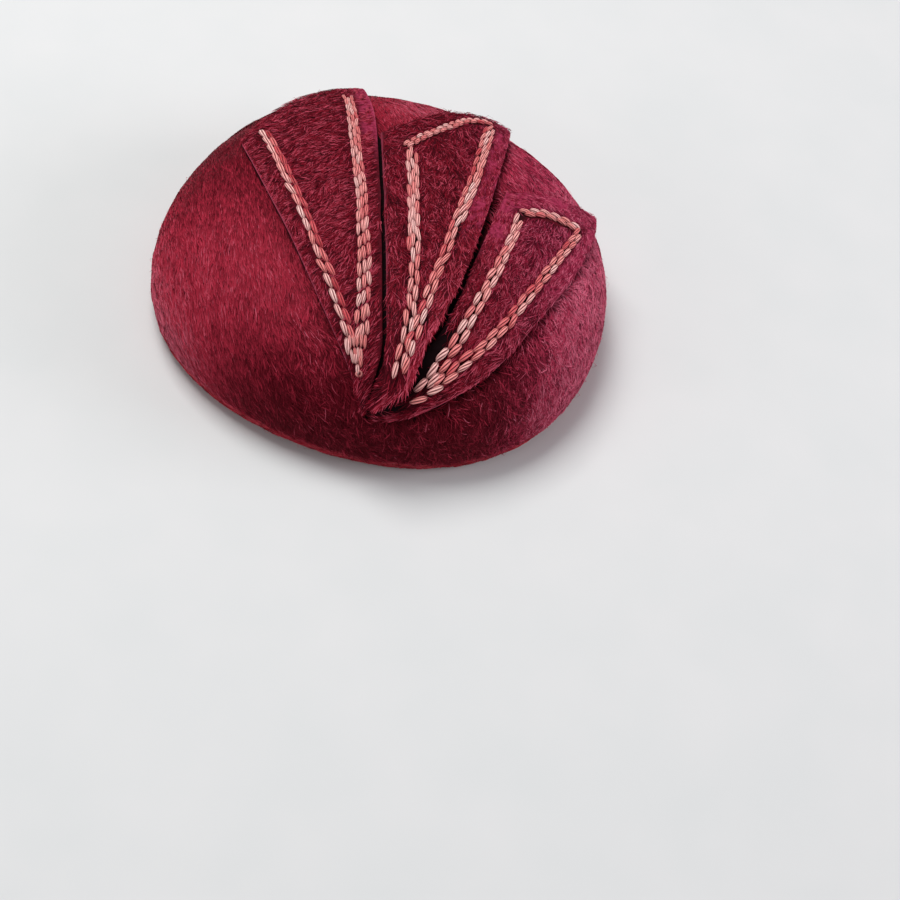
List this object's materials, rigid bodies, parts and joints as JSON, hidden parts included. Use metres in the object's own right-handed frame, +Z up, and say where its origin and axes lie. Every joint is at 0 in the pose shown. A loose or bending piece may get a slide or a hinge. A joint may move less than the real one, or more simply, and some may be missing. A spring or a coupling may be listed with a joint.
{
  "type": "felt percher hat",
  "caption": "Small domed percher hat of long-pile burgundy felt, hollow and open below, with stitched leaf-shaped felt fins fanning over its crown.",
  "frame": {"origin": "bottom centre of the bounding box, on the plane that the rim rests on", "axes": "+Z up out of the top of the crown, -Y towards the front, where the fins' tips meet, +X to the side, along the crown's longer way"},
  "size_m": [0.1457, 0.137, 0.05],
  "materials": {
    "crown_felt": "matte",
    "fin_felt": "matte",
    "coral_thread": "satin"
  },
  "bodies": {
    "root": {"crown": "crown_felt", "fin_left": "fin_felt", "fin_middle": "fin_felt", "fin_right": "fin_felt"}
  },
  "joints": []
}
